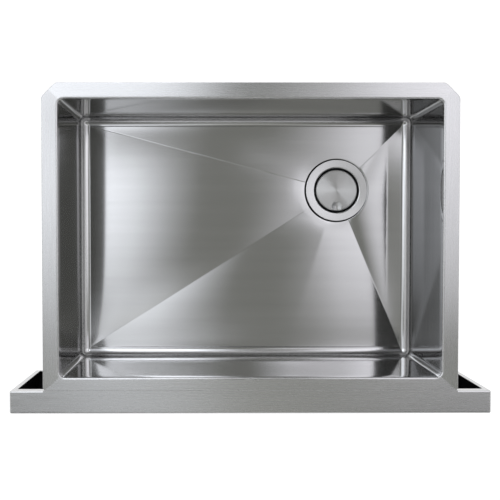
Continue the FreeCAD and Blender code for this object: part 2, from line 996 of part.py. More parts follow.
def check_and_write():
    doc.recompute()
    for item in doc.Objects:
        if "Invalid" in item.State or "Error" in item.State:
            raise RuntimeError(f"{item.Name} failed: {item.State}")
    os.makedirs("parts", exist_ok=True)
    for item in parts:
        shape = item.Shape
        if shape.isNull() or not shape.isValid() or not shape.Solids:
            raise RuntimeError(f"{item.Label} has no valid solid")
    for item in parts:
        item.Shape.exportStep(f"parts/{item.Label}.step")
        print(item.Label, len(item.Shape.Solids), round(item.Shape.Volume, 1))


bowl_shell()
apron_pan()
brace("apron_brace_left", -1)
brace("apron_brace_right", 1)
wall_pads()
floor_pad()
strainer_body()
clamping_stack()
basket_cup()
basket_fittings()
drain_cover()
cover_socket()
outlet()
check_and_write()
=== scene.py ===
import math

import bpy
from mathutils import Matrix, Vector


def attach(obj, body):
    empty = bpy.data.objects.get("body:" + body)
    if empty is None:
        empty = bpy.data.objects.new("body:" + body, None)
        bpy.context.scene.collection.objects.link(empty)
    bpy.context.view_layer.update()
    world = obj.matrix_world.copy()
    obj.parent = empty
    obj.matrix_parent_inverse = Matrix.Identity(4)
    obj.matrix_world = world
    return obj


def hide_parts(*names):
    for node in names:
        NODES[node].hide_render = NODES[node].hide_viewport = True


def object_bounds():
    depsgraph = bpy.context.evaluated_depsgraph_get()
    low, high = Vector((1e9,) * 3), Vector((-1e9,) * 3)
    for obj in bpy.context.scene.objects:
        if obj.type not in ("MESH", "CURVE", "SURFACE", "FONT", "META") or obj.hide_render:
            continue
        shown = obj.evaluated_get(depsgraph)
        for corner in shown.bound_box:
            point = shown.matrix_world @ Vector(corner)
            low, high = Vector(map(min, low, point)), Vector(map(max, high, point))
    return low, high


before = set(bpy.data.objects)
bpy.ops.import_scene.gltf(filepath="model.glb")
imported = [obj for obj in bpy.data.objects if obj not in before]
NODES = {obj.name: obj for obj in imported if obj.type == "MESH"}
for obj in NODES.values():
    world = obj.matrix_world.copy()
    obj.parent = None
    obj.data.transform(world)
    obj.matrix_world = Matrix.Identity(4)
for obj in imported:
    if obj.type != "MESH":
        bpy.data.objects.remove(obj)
CAD_BOX = [list(corner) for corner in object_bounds()]
MM = 0.001

# Sizes of the bowl and the apron, in millimetres, as the solids have them
HALF_X = 302.5
HALF_Y = 219.0
WALL_FOOT = -250.0
FLOOR_FALL = 8.0
SHEET = 1.5
WALL_CORNER = 10.0
FLOOR_CORNER = 15.0
RIM_ROLL = 3.0
FLANGE_X = 327.9
FLANGE_BACK = 244.4
FLANGE_FRONT = -239.8
CHAMFER = 22.0
DRAIN = (170.0, 87.0)
RECESS = 58.6
RECESS_CENTRE = (168.5, 86.6)
SHOULDER = 0.8
SEAT = WALL_FOOT - FLOOR_FALL - 3.0
DRAIN_HOLE = 45.0
APRON_INSIDE = ((-379.7, -275.3, -201.7), (379.7, -241.2, -1.3))


# Shader nodes


def new_material(name):
    made = bpy.data.materials.new(name)
    made.use_nodes = True
    tree = made.node_tree
    shader = tree.nodes["Principled BSDF"]
    return made, tree, shader


def node(tree, kind, **values):
    made = tree.nodes.new(kind)
    for key, value in values.items():
        setattr(made, key, value)
    return made


def feed(tree, socket, value):
    """Link a socket to another node's output, or set it to a plain value."""
    if isinstance(value, bpy.types.NodeSocket):
        tree.links.new(value, socket)
    else:
        socket.default_value = value


def stretched(tree, scale):
    """Object coordinates in metres, stretched along the grain."""
    place = node(tree, "ShaderNodeTexCoord")
    mapping = node(tree, "ShaderNodeMapping")
    mapping.inputs["Scale"].default_value = scale
    tree.links.new(place.outputs["Object"], mapping.inputs["Vector"])
    return mapping.outputs["Vector"]


def noise(tree, vector, scale, detail=2.0, rough=0.5):
    made = node(tree, "ShaderNodeTexNoise")
    made.inputs["Scale"].default_value = scale
    made.inputs["Detail"].default_value = detail
    made.inputs["Roughness"].default_value = rough
    tree.links.new(vector, made.inputs["Vector"])
    return made.outputs["Fac"]


# Where most of a noise's values lie
NOISE_RANGE = (0.3, 0.7)


def map_range(tree, value, old, new=(0.0, 1.0)):
    made = node(tree, "ShaderNodeMapRange")
    made.inputs["From Min"].default_value = old[0]
    made.inputs["From Max"].default_value = old[1]
    made.inputs["To Min"].default_value = new[0]
    made.inputs["To Max"].default_value = new[1]
    tree.links.new(value, made.inputs["Value"])
    return made.outputs["Result"]


# For each kind of data: a Mix node's factor, first and second socket, and its result
MIX_SOCKETS = {"RGBA": ((0, 6, 7), 2), "FLOAT": ((0, 2, 3), 0)}


def mix(tree, data_type, fac, first, second, kind="MIX"):
    """Mix two values, each a plain one or another node's output."""
    made = node(tree, "ShaderNodeMix", data_type=data_type, blend_type=kind)
    places, result = MIX_SOCKETS[data_type]
    for place, value in zip(places, (fac, first, second)):
        feed(tree, made.inputs[place], value)
    return made.outputs[result]


def mottled(tree, fac, colour, low, high):
    """The colour, a little darker or lighter as the noise goes."""
    dark = [c * low for c in colour]
    light = [min(c * high, 1.0) for c in colour]
    return mix(tree, "RGBA", fac, (*dark, 1), (*light, 1))


def uneven(tree, fac, roughness, low=0.85, high=1.15):
    """The roughness, a little lower or higher as the noise goes."""
    return map_range(tree, fac, NOISE_RANGE, (roughness * low, roughness * high))


def calculate(tree, operation, first, second):
    made = node(tree, "ShaderNodeMath", operation=operation)
    feed(tree, made.inputs[0], first)
    feed(tree, made.inputs[1], second)
    return made.outputs[0]


def unit(tree, vector):
    made = node(tree, "ShaderNodeVectorMath", operation="NORMALIZE")
    tree.links.new(vector, made.inputs[0])
    return made.outputs["Vector"]


def bump(tree, shader, height, distance, strength):
    made = node(tree, "ShaderNodeBump")
    made.inputs["Strength"].default_value = strength
    made.inputs["Distance"].default_value = distance
    tree.links.new(height, made.inputs["Height"])
    tree.links.new(made.outputs["Normal"], shader.inputs["Normal"])
    return made


# Materials

X, Y = 0, 1
# The grain is tipped a little, so that a face square to it has a direction across it too
GRAINS = {X: (1.0, 0.004, 0.0), Y: (0.004, 1.0, 0.0)}
# How close the noise of steel lies, per metre: across the grain and along it
SCRATCHES = (900.0, 14.0)
STREAKS = (60.0, 2.0)
# Depths of the bumps, in metres
SCRATCH_DEPTH = 0.00003
RING_DEPTH = 0.00004
RING_CUT = 0.3
# How close the patches of a matte surface lie, per metre
PATCHES = 18.0
STEEL = (0.62, 0.62, 0.62)
# Near black, painted inside the apron's box as painted shade in its hollows
PAINTED_SHADE_COAT = {"Base Color": (0.008, 0.008, 0.009, 1), "Roughness": 0.6, "Metallic": 0.0}


def across_grain(tree, along):
    """The direction across the grain, in which the fine scratches blur what they mirror."""
    place = node(tree, "ShaderNodeNewGeometry")
    made = node(tree, "ShaderNodeVectorMath", operation="CROSS_PRODUCT")
    made.inputs[1].default_value = GRAINS[along]
    tree.links.new(place.outputs["Normal"], made.inputs[0])
    return made.outputs["Vector"]


def leaned(tree, lean):
    """The surface's normal, leaned back a little, as a drawn wall's is."""
    place = node(tree, "ShaderNodeNewGeometry")
    tipped = node(tree, "ShaderNodeVectorMath", operation="ADD")
    tipped.inputs[1].default_value = (0, 0, lean)
    tree.links.new(place.outputs["Normal"], tipped.inputs[0])
    return unit(tree, tipped.outputs["Vector"])


def grained(tree, closeness, along, detail, rough):
    across, lengthwise = closeness
    scale = [across] * 3
    scale[along] = lengthwise
    return noise(tree, stretched(tree, scale), 1.0, detail, rough)


def brushed_steel(
    name, along, roughness, anisotropy, colour=STEEL, edge=1.0, lean=0.0, cut=0.25
):
    """Stainless sheet brushed in long strokes along one axis.

    The edge is a tint on how bright it stays at a glancing angle, painted shade where it is under
    1, and the cut how deep the scratches look.
    """
    made, tree, shader = new_material(name)
    lines = grained(tree, SCRATCHES, along, detail=3.0, rough=0.6)
    streaks = grained(tree, STREAKS, along, detail=2.0, rough=0.5)
    feed(tree, shader.inputs["Base Color"], mottled(tree, streaks, colour, low=0.95, high=1.04))
    feed(tree, shader.inputs["Roughness"], uneven(tree, lines, roughness))
    feed(tree, shader.inputs["Tangent"], across_grain(tree, along))
    shader.inputs["Metallic"].default_value = 1.0
    shader.inputs["Anisotropic"].default_value = anisotropy
    shader.inputs["Specular Tint"].default_value = (edge, edge, edge, 1)
    relief = bump(tree, shader, lines, SCRATCH_DEPTH, cut)
    if lean:
        tree.links.new(leaned(tree, lean), relief.inputs["Normal"])
    return made


def turned_steel(name, roughness, anisotropy, colour, ring_scale=900.0, dish=0.0):
    """Metal brushed on a lathe, in rings round the drain's upright axis."""
    made, tree, shader = new_material(name)
    place = node(tree, "ShaderNodeTexCoord")
    shift = node(tree, "ShaderNodeMapping")
    shift.inputs["Location"].default_value = (-DRAIN[0] * MM, -DRAIN[1] * MM, 0)
    tree.links.new(place.outputs["Object"], shift.inputs["Vector"])
    flat = node(tree, "ShaderNodeVectorMath", operation="MULTIPLY")
    flat.inputs[1].default_value = (1, 1, 0)
    tree.links.new(shift.outputs["Vector"], flat.inputs[0])
    length = node(tree, "ShaderNodeVectorMath", operation="LENGTH")
    tree.links.new(flat.outputs["Vector"], length.inputs[0])
    rings = node(tree, "ShaderNodeTexNoise", noise_dimensions="1D")
    rings.inputs["Scale"].default_value = ring_scale
    rings.inputs["Detail"].default_value = 3.0
    tree.links.new(length.outputs["Value"], rings.inputs["W"])
    radial = unit(tree, flat.outputs["Vector"])
    fac = rings.outputs["Fac"]
    feed(tree, shader.inputs["Base Color"], mottled(tree, fac, colour, low=0.93, high=1.05))
    feed(tree, shader.inputs["Roughness"], uneven(tree, fac, roughness))
    feed(tree, shader.inputs["Tangent"], radial)
    shader.inputs["Metallic"].default_value = 1.0
    shader.inputs["Anisotropic"].default_value = anisotropy
    relief = bump(tree, shader, fac, RING_DEPTH, RING_CUT)
    if dish:
        # level faces are a little dished towards the axis
        facing = node(tree, "ShaderNodeNewGeometry")
        inward = node(tree, "ShaderNodeVectorMath", operation="MULTIPLY_ADD")
        inward.inputs[1].default_value = (-dish, -dish, 0)
        tree.links.new(radial, inward.inputs[0])
        tree.links.new(facing.outputs["Normal"], inward.inputs[2])
        tree.links.new(unit(tree, inward.outputs["Vector"]), relief.inputs["Normal"])
    return made


def matte(name, colour, roughness, grain=400.0, depth=0.0002):
    """Rubber, putty, card, moulded plastic and cast metal."""
    made, tree, shader = new_material(name)
    vector = stretched(tree, (1, 1, 1))
    fine = noise(tree, vector, grain, detail=4.0, rough=0.6)
    patches = noise(tree, vector, PATCHES)
    feed(tree, shader.inputs["Base Color"], mottled(tree, patches, colour, low=0.75, high=1.25))
    feed(tree, shader.inputs["Roughness"], uneven(tree, fine, roughness, high=1.1))
    bump(tree, shader, fine, depth, strength=0.5)
    return made


def inside_box(tree, low, high):
    """1 inside a box, given in millimetres, and 0 outside it."""
    place = node(tree, "ShaderNodeTexCoord")
    split = node(tree, "ShaderNodeSeparateXYZ")
    tree.links.new(place.outputs["Object"], split.inputs[0])
    mask = 1.0
    for axis, bottom, top in zip("XYZ", low, high):
        above = calculate(tree, "GREATER_THAN", split.outputs[axis], bottom * MM)
        below = calculate(tree, "LESS_THAN", split.outputs[axis], top * MM)
        mask = calculate(tree, "MULTIPLY", mask, calculate(tree, "MULTIPLY", above, below))
    return mask


def paint_shade_inside(material, low, high):
    """Paint the faces inside a box, given in millimetres, near black: painted shade in the hollows
    of the apron's box.
    """
    tree = material.node_tree
    shader = tree.nodes["Principled BSDF"]
    mask = inside_box(tree, low, high)
    for name, painted_shade in PAINTED_SHADE_COAT.items():
        socket = shader.inputs[name]
        bare = socket.links[0].from_socket if socket.is_linked else socket.default_value
        data_type = "RGBA" if name == "Base Color" else "FLOAT"
        tree.links.new(mix(tree, data_type, mask, bare, painted_shade), socket)


# How the sheet is brushed on the flange and the apron, on the walls, in the fillet and on the floor
FLANGE = {"roughness": 0.27, "anisotropy": 0.85, "cut": 0.06}
WALL = {"roughness": 0.08, "anisotropy": 0.6, "cut": 0.03}
FILLET = {"roughness": 0.19, "anisotropy": 0.6, "cut": 0.04}
FLOOR = {"roughness": 0.12, "anisotropy": 0.6, "cut": 0.06}
ALONG_X = brushed_steel("steel_brushed_along_x", X, **FLANGE)
ALONG_Y = brushed_steel("steel_brushed_along_y", Y, **FLANGE)
# The four walls are one sheet: the back, left and right ones are darker copies, with their edge set
# lower as painted shade
WALL_FRONT = brushed_steel("steel_front_wall", X, lean=0.025, **WALL)
WALL_BACK_PAINTED_SHADE = brushed_steel("steel_back_wall_painted_shade", X, edge=0.8, lean=0.03, **WALL)
WALL_LEFT_PAINTED_SHADE = brushed_steel("steel_left_wall_painted_shade", Y, edge=0.42, lean=0.035, **WALL)
WALL_RIGHT_PAINTED_SHADE = brushed_steel("steel_right_wall_painted_shade", Y, edge=0.16, lean=0.035, **WALL)
FILLET_X = brushed_steel("steel_fillet_along_x", X, lean=0.035, **FILLET)
FILLET_Y = brushed_steel("steel_fillet_along_y", Y, lean=0.035, **FILLET)
FLOOR_X = brushed_steel("steel_floor_along_x", X, **FLOOR)
MILL = brushed_steel(
    "steel_mill_finish", X, roughness=0.36, anisotropy=0.3, colour=(0.36, 0.36, 0.355)
)
TURNED = turned_steel(
    "steel_turned", roughness=0.2, anisotropy=0.7, colour=(0.74, 0.74, 0.74), dish=0.06
)
SPUN = turned_steel("steel_spun", roughness=0.36, anisotropy=0.95, colour=(0.66, 0.66, 0.65))
PLATED = turned_steel(
    "nickel_plate", roughness=0.12, anisotropy=0.3, colour=(0.5, 0.49, 0.475), ring_scale=300.0
)
CAST = matte("cast_zinc", (0.3, 0.3, 0.31), roughness=0.5, grain=700.0, depth=0.0003)
CAST.node_tree.nodes["Principled BSDF"].inputs["Metallic"].default_value = 0.8
PAD = matte("pad_rubber", (0.035, 0.036, 0.04), roughness=0.75, grain=500.0, depth=0.0004)
RUBBER = matte("black_rubber", (0.006, 0.006, 0.007), roughness=0.6)
RUBBER.node_tree.nodes["Principled BSDF"].inputs["Specular IOR Level"].default_value = 0.15
PUTTY = matte("putty", (0.42, 0.39, 0.33), roughness=0.8, grain=300.0, depth=0.0005)
FIBRE = matte("fibre_card", (0.2, 0.11, 0.06), roughness=0.85, grain=600.0, depth=0.0003)
PLASTIC = matte("socket_plastic", (0.03, 0.03, 0.032), roughness=0.4)
APRON = brushed_steel("steel_apron", X, **FLANGE)
# The inside of the apron's box gets painted shade, near black
paint_shade_inside(APRON, *APRON_INSIDE)

NODE_MATERIALS = {
    "bowl_shell": ALONG_X,
    "apron_pan": APRON,
    "apron_brace_left": MILL,
    "apron_brace_right": MILL,
    "sound_pad_left": PAD,
    "sound_pad_right": PAD,
    "sound_pad_back": PAD,
    "sound_pad_front": PAD,
    "sound_pad_floor": PAD,
    "strainer_body": TURNED,
    "putty_ring": PUTTY,
    "drain_gasket": RUBBER,
    "fibre_washer": FIBRE,
    "locknut": CAST,
    "tailpiece_washer": RUBBER,
    "tailpiece": PLATED,
    "coupling_nut": PLATED,
    "basket_cup": TURNED,
    "basket_stem": TURNED,
    "basket_stopper": RUBBER,
    "stem_nut": TURNED,
    "drain_cover": SPUN,
    "cover_socket": PLASTIC,
}
for name, material in NODE_MATERIALS.items():
    mesh = NODES[name].data
    mesh.materials.clear()
    mesh.materials.append(material)


# Meshes of rings


def add_object(name, data):
    made = bpy.data.objects.new(name, data)
    bpy.context.scene.collection.objects.link(made)
    return made


def ring_mesh(name, rings, closed=False):
    """A smooth mesh through rings of points in millimetres, all with the same count."""
    count = len(rings[0])
    points = []
    for row in rings:
        points.extend((x * MM, y * MM, z * MM) for x, y, z in row)
    faces = []
    for level in range(len(rings) if closed else len(rings) - 1):
        a = level * count
        b = (level + 1) % len(rings) * count
        for k in range(count):
            following = (k + 1) % count
            faces.append((a + k, b + k, b + following, a + following))
    mesh = bpy.data.meshes.new(name)
    mesh.from_pydata(points, [], faces)
    for polygon in mesh.polygons:
        polygon.use_smooth = True
    return mesh


def quarter_turn(steps, first=0):
    """The sine and cosine of even steps through a quarter turn."""
    turns = [math.radians(90 * step / steps) for step in range(first, steps + 1)]
    return [(math.sin(turn), math.cos(turn)) for turn in turns]


def between(first, second, share):
    """The point a share of the way from the first to the second."""
    return tuple(a + (b - a) * share for a, b in zip(first, second))


# Bowl, as a fine mesh of loops that run from the flange's outer edge to the drain hole

CORNER_STEPS = 10
SIDE_STEPS_X = 60
SIDE_STEPS_Y = 44
ROLL_STEPS = 6
WALL_STEPS = 12
FILLET_STEPS = 10
SHOULDER_STEPS = 5
RECESS_STEPS = 4
FLOOR_LOOPS = 34
# Shares of the way inwards at which more loops lie
FLANGE_SHARES = (0.0, 0.04, 0.5, 0.94)
FOOT_SHARES = (0.002, 0.006, 0.014)
CREASE_GAP = 0.004
LEAST_RADIUS = 0.3
TINY = 1e-6


def side_fractions(count):
    """Even steps along a side, with one close to each end to keep the creases crisp."""
    inner = [(k + 1) / (count + 1) for k in range(count)]
    return [CREASE_GAP, *inner, 1 - CREASE_GAP]


def on_circle(centre, radius, degrees):
    turn = math.radians(degrees)
    return centre[0] + radius * math.cos(turn), centre[1] + radius * math.sin(turn)


def loop(half_x, half_y, radius):
    """Points of a rounded rectangle, anticlockwise from the right side's front end."""
    radius = max(radius, LEAST_RADIUS)
    x, y = half_x - radius, half_y - radius
    corners = [((x, y), 0), ((-x, y), 90), ((-x, -y), 180), ((x, -y), 270)]
    points = []
    for index, (centre, start) in enumerate(corners):
        last_centre, last_start = corners[index - 1]
        side_start = on_circle(last_centre, radius, last_start + 90)
        side_end = on_circle(centre, radius, start)
        count = SIDE_STEPS_Y if index % 2 == 0 else SIDE_STEPS_X
        points += [between(side_start, side_end, share) for share in side_fractions(count)]
        for step in range(CORNER_STEPS + 1):
            points.append(on_circle(centre, radius, start + 90 * step / CORNER_STEPS))
    return points


def corner_path(outer_point, start, end):
    """The way round one corner of the flange, which is chamfered at the back."""
    x, y = outer_point
    side = math.copysign(FLANGE_X, x)
    level = FLANGE_BACK if y > 0 else FLANGE_FRONT
    cut = CHAMFER if y > 0 else 0.0
    on_side = (side, level - math.copysign(cut, y))
    on_level = (side - math.copysign(cut, x), level)
    from_side = abs(abs(start[0]) - FLANGE_X) < TINY
    middle = [on_side, on_level] if from_side else [on_level, on_side]
    return [start, *middle, end]


def spread_along(path, count):
    """Even points along a path of straight lines, without its two ends."""
    lengths = [math.dist(a, b) for a, b in zip(path, path[1:])]
    points = []
    for k in range(count):
        want = sum(lengths) * (k + 1) / (count + 1)
        part = 0
        while part < len(lengths) - 1 and want > lengths[part]:
            want -= lengths[part]
            part += 1
        share = want / lengths[part] if lengths[part] else 0.0
        points.append(between(path[part], path[part + 1], share))
    return points


def flange_edge(outer):
    """The flange's outer edge, with a point straight out from each point of the rim's roll."""
    edge = []
    for x, y in outer:
        if abs(x) >= HALF_X + RIM_ROLL - TINY:
            edge.append((math.copysign(FLANGE_X, x), y))
        elif abs(y) >= HALF_Y + RIM_ROLL - TINY:
            edge.append((x, FLANGE_BACK if y > 0 else FLANGE_FRONT))
        else:
            edge.append(None)
    # the points at the corners are spread round them
    while None in edge:
        first = edge.index(None)
        stop = first
        while edge[stop] is None:
            stop += 1
        path = corner_path(outer[first], edge[first - 1], edge[stop])
        edge[first:stop] = spread_along(path, stop - first)
    return edge


def flange_loops():
    """The flange, from its outer edge to where the rim's roll starts."""
    outer = loop(HALF_X + RIM_ROLL, HALF_Y + RIM_ROLL, WALL_CORNER + RIM_ROLL)
    edge = flange_edge(outer)
    return [
        [(*between(a, b, share), 0.0) for a, b in zip(edge, outer)] for share in FLANGE_SHARES
    ]


# The floor's shape, in millimetres: how high each facet bows, how far from the left and right
# walls, the creases and the recess the bow sets in, how high the floor sweeps up to the front
# and back walls, and how far the sweep reaches inwards and stays away from the corners
BULGE = 3.5
EDGE_REACH = 45.0
CREASE_REACH = 60.0
NEAR_REACH = 10.0
SWEEP = 0.35
SWEEP_REACH = 7.0
SWEEP_END_REACH = 40.0
# The right facet's cove, as a share of its width, and the share of the fall that the cove
# takes up, and how far from the creases it sets in
COVE = 0.2
LEVEL = 0.37
COVE_REACH = 30.0
# How softly the left facet turns into the back one, and how far from the creases that sets in
SOFT = 1.8
SOFT_REACH = 18.0
# A point this close to the front or back side counts as on it
SIDE_BAND = 0.5
FLOOR_X_IN = HALF_X - FLOOR_CORNER
FLOOR_Y_IN = HALF_Y - FLOOR_CORNER
# The crease to the back left corner has no edge, so that corner is left out
CREASE_ENDS = ((FLOOR_X_IN, -FLOOR_Y_IN), (FLOOR_X_IN, FLOOR_Y_IN), (-FLOOR_X_IN, -FLOOR_Y_IN))


def crease_distance(x, y):
    """How far a point is from the nearest crease."""
    best = math.inf
    for end_x, end_y in CREASE_ENDS:
        dx, dy = end_x - DRAIN[0], end_y - DRAIN[1]
        size = math.hypot(dx, dy)
        along = ((x - DRAIN[0]) * dx + (y - DRAIN[1]) * dy) / size
        if along > 0:
            best = min(best, abs((x - DRAIN[0]) * dy - (y - DRAIN[1]) * dx) / size)
    return best


def setting_in(distance, reach):
    """0 at no distance, and nearly 1 from a few times the reach on."""
    return 1 - math.exp(-distance / reach)


def foot_lift(x):
    """How far the floor sweeps up to the front and back walls."""
    return SWEEP * setting_in(max(FLOOR_X_IN - abs(x), 0.0), SWEEP_END_REACH)


def floor_height(x, y):
    """The pitched floor: four facets that fall to the drain, each slightly bowed."""
    shares = []
    for value, middle, half in ((x, DRAIN[0], FLOOR_X_IN), (y, DRAIN[1], FLOOR_Y_IN)):
        shares.append((value + half) / (middle + half))
        shares.append((half - value) / (half - middle))
    left, right, front, back = shares
    fallen = min(max(min(shares), 0.0), 1.0)
    edge = max(FLOOR_X_IN - abs(x), 0.0)
    crease = crease_distance(x, y)
    near = max(math.hypot(x - DRAIN[0], y - DRAIN[1]) - RECESS, 0.0)
    bow = BULGE * setting_in(edge, EDGE_REACH) * setting_in(crease, CREASE_REACH)
    bow *= setting_in(near, NEAR_REACH)
    if right <= fallen:
        # a cove along the wall, then level up to the drain
        bow = max(right - LEVEL, -right * (LEVEL / COVE - 1))
        bow *= FLOOR_FALL * setting_in(crease, COVE_REACH)
    elif back <= fallen:
        # the left facet runs on over the back one until the back one is higher
        over = bow - FLOOR_FALL * (left - back)
        bow = 0.5 * (over + math.hypot(over, SOFT)) * setting_in(crease, SOFT_REACH)
    end = max(FLOOR_Y_IN - abs(y), 0.0)
    swept = foot_lift(x) * math.exp(-end / SWEEP_REACH)
    return WALL_FOOT - FLOOR_FALL * fallen + bow + swept


def wall_loops():
    """The rim's roll, the walls and the fillet at their foot."""
    loops = []
    for sine, cosine in quarter_turn(ROLL_STEPS):
        out = RIM_ROLL * (1 - sine)
        down = RIM_ROLL * (1 - cosine)
        shape = loop(HALF_X + out, HALF_Y + out, WALL_CORNER + out)
        loops.append([(x, y, -down) for x, y in shape])
    wall_end = WALL_FOOT + FLOOR_CORNER
    shape = loop(HALF_X, HALF_Y, WALL_CORNER)
    for step in range(1, WALL_STEPS + 1):
        z = -RIM_ROLL + (wall_end + RIM_ROLL) * step / WALL_STEPS
        loops.append([(x, y, z) for x, y in shape])
    for sine, cosine in quarter_turn(FILLET_STEPS, first=1):
        inset = FLOOR_CORNER * (1 - cosine)
        share = inset / FLOOR_CORNER
        z = wall_end - FLOOR_CORNER * sine
        row = []
        for x, y in loop(HALF_X - inset, HALF_Y - inset, WALL_CORNER * (1 - share)):
            lift = foot_lift(x) if abs(y) > HALF_Y - inset - SIDE_BAND else 0.0
            row.append((x, y, z + lift * share ** 2))
        loops.append(row)
    return loops


def floor_loops(foot):
    """The pitched floor, the shoulder round the recess, and the recess down to the hole."""
    units = []
    for x, y, _ in foot:
        dx, dy = x - DRAIN[0], y - DRAIN[1]
        size = math.hypot(dx, dy)
        units.append((dx / size, dy / size))

    def circle(centre, radius):
        return [(centre[0] + ux * radius, centre[1] + uy * radius) for ux, uy in units]

    mouth = circle(RECESS_CENTRE, RECESS + SHOULDER)
    shares = [*FOOT_SHARES, *((k + 1) / FLOOR_LOOPS for k in range(FLOOR_LOOPS))]
    loops = []
    for share in shares:
        spots = [between((x, y), end, share) for (x, y, _), end in zip(foot, mouth)]
        loops.append([(x, y, floor_height(x, y)) for x, y in spots])
    edge = loops[-1]
    for sine, cosine in quarter_turn(SHOULDER_STEPS, first=1):
        spots = circle(RECESS_CENTRE, RECESS + SHOULDER * (1 - sine))
        drop = SHOULDER * (1 - cosine)
        loops.append([(x, y, z - drop) for (x, y), (_, _, z) in zip(spots, edge)])
    for sine, cosine in quarter_turn(RECESS_STEPS):
        spots = circle(RECESS_CENTRE, RECESS - SHEET * (1 - cosine))
        loops.append([(x, y, SEAT + SHEET * (1 - sine)) for x, y in spots])
    loops.append([(x, y, SEAT) for x, y in circle(DRAIN, DRAIN_HOLE)])
    return loops


WALLS = (WALL_FRONT, WALL_BACK_PAINTED_SHADE, WALL_LEFT_PAINTED_SHADE, WALL_RIGHT_PAINTED_SHADE)
INSIDE = (ALONG_X, ALONG_Y, *WALLS, FILLET_X, FILLET_Y, FLOOR_X)
# The flange's grain runs down to this height in the rim's roll
FLANGE_END = -0.6 * RIM_ROLL
# A face that points up at least this much belongs to the floor, and otherwise to the fillet
FLOOR_FACING = 0.97


def inside_material(centre, normal):
    """The material of a face of the bowl, by its place and the way it faces."""
    x, y, z = centre / MM
    sideways = abs(normal.x) > abs(normal.y)
    if z > FLANGE_END:
        return ALONG_Y if abs(x) - HALF_X > abs(y) - HALF_Y else ALONG_X
    if z > WALL_FOOT + FLOOR_CORNER:
        if sideways:
            return WALL_RIGHT_PAINTED_SHADE if x > 0 else WALL_LEFT_PAINTED_SHADE
        return WALL_BACK_PAINTED_SHADE if y > 0 else WALL_FRONT
    if abs(normal.z) < FLOOR_FACING:
        return FILLET_Y if sideways else FILLET_X
    return FLOOR_X


def build_bowl():
    loops = flange_loops() + wall_loops()
    loops += floor_loops(loops[-1])
    mesh = ring_mesh("bowl_skin", loops)
    mesh.flip_normals()
    for material in (*INSIDE, MILL):
        mesh.materials.append(material)
    for polygon in mesh.polygons:
        material = inside_material(polygon.center, polygon.normal)
        polygon.material_index = INSIDE.index(material)
    mesh.validate()
    made = add_object("bowl_skin", mesh)
    thick = made.modifiers.new("sheet", "SOLIDIFY")
    thick.thickness = SHEET * MM
    thick.offset = -1.0
    thick.use_even_offset = True
    thick.material_offset = len(INSIDE)
    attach(made, "sink")
    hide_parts("bowl_shell")


build_bowl()


# Turned pieces, as fine meshes round the drain's axis

FLANGE_TOP = WALL_FOOT - FLOOR_FALL
RING_TURNS = 160
COVER_TURNS = 240
# Profiles in millimetres: centre, radius, and height over the top of the strainer's flange
# Painted shadow: a black ring for the gap round the strainer's flange
PAINTED_SHADOW_BEAD = (
    (DRAIN, 55.5, -2.9),
    (RECESS_CENTRE, RECESS - 0.3, -2.9),
    (RECESS_CENTRE, RECESS + 0.1, -1.6),
    (RECESS_CENTRE, RECESS - 0.2, -0.9),
    (RECESS_CENTRE, RECESS - 0.8, -0.7),
    (DRAIN, 56.6, -0.9),
    (DRAIN, 55.5, -1.4),
)
# Painted shade: a black lip for the gap round the cover
PAINTED_SHADE_LIP = (
    (DRAIN, 37.4, -5.2),
    (DRAIN, 41.2, -5.2),
    (DRAIN, 41.4, -3.6),
    (DRAIN, 41.0, -2.8),
    (DRAIN, 40.4, -2.4),
    (DRAIN, 38.4, -2.3),
    (DRAIN, 37.6, -2.6),
    (DRAIN, 37.35, -3.2),
)


def even_angles(turns):
    return [2 * math.pi * step / turns for step in range(turns)]


def ring(centre, radius, height, turns=RING_TURNS):
    points = []
    for angle in even_angles(turns):
        x = centre[0] + radius * math.cos(angle)
        y = centre[1] + radius * math.sin(angle)
        points.append((x, y, FLANGE_TOP + height))
    return points


def build_painted_shadow_bead():
    """A black ring between the strainer's flange and the edge of its recess: painted shadow for the
    gap there.
    """
    rings = [ring(*row) for row in PAINTED_SHADOW_BEAD]
    made = add_object("flange_painted_shadow", ring_mesh("flange_painted_shadow", rings, closed=True))
    made.data.materials.append(RUBBER)
    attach(made, "sink")


def build_painted_shade_lip():
    """A black lip round the basket's rim, seen in the gap round the cover: painted shade for that
    gap.
    """
    rings = [ring(*row) for row in PAINTED_SHADE_LIP]
    made = add_object("basket_painted_shade_lip", ring_mesh("basket_painted_shade_lip", rings, closed=True))
    made.data.materials.append(RUBBER)
    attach(made, "strainer_basket")


# Cover, in millimetres, with heights over the top of the strainer's flange
COVER = 37.0
COVER_TOP = -0.6
COVER_FOOT = -4.6
COVER_ROLL = 1.4
COVER_SHEET = 1.0
# How many rings it has, how they crowd towards its edge, and how wide the innermost is
COVER_RINGS = 56
COVER_CROWDING = 0.85
COVER_MIDDLE = 0.02
DOME = 0.9
DIMPLE = (0.0, -30.0)
DIMPLE_RADIUS = 10.5
DIMPLE_DEPTH = 2.6
DIMPLE_FLATNESS = 1.6
# A faint ridge round the dimple's hollow: its height, and its place and width as shares of
# the dimple's radius
RIDGE = 0.25
RIDGE_PLACE = 0.5
RIDGE_WIDTH = 0.12


def cover_height(dx, dy):
    away = math.hypot(dx, dy) / COVER
    height = COVER_TOP - DOME * away * away
    near = math.hypot(dx - DIMPLE[0], dy - DIMPLE[1]) / DIMPLE_RADIUS
    if near < 1.0:
        hollow = 0.5 + 0.5 * math.cos(math.pi * near ** DIMPLE_FLATNESS)
        ridge = RIDGE * math.exp(-(((near - RIDGE_PLACE) / RIDGE_WIDTH) ** 2))
        height -= DIMPLE_DEPTH * hollow - ridge
    return height


def cover_ring(radius, drop=0.0):
    points = []
    for angle in even_angles(COVER_TURNS):
        dx, dy = radius * math.cos(angle), radius * math.sin(angle)
        z = FLANGE_TOP + cover_height(dx, dy) - drop
        points.append((DRAIN[0] + dx, DRAIN[1] + dy, z))
    return points


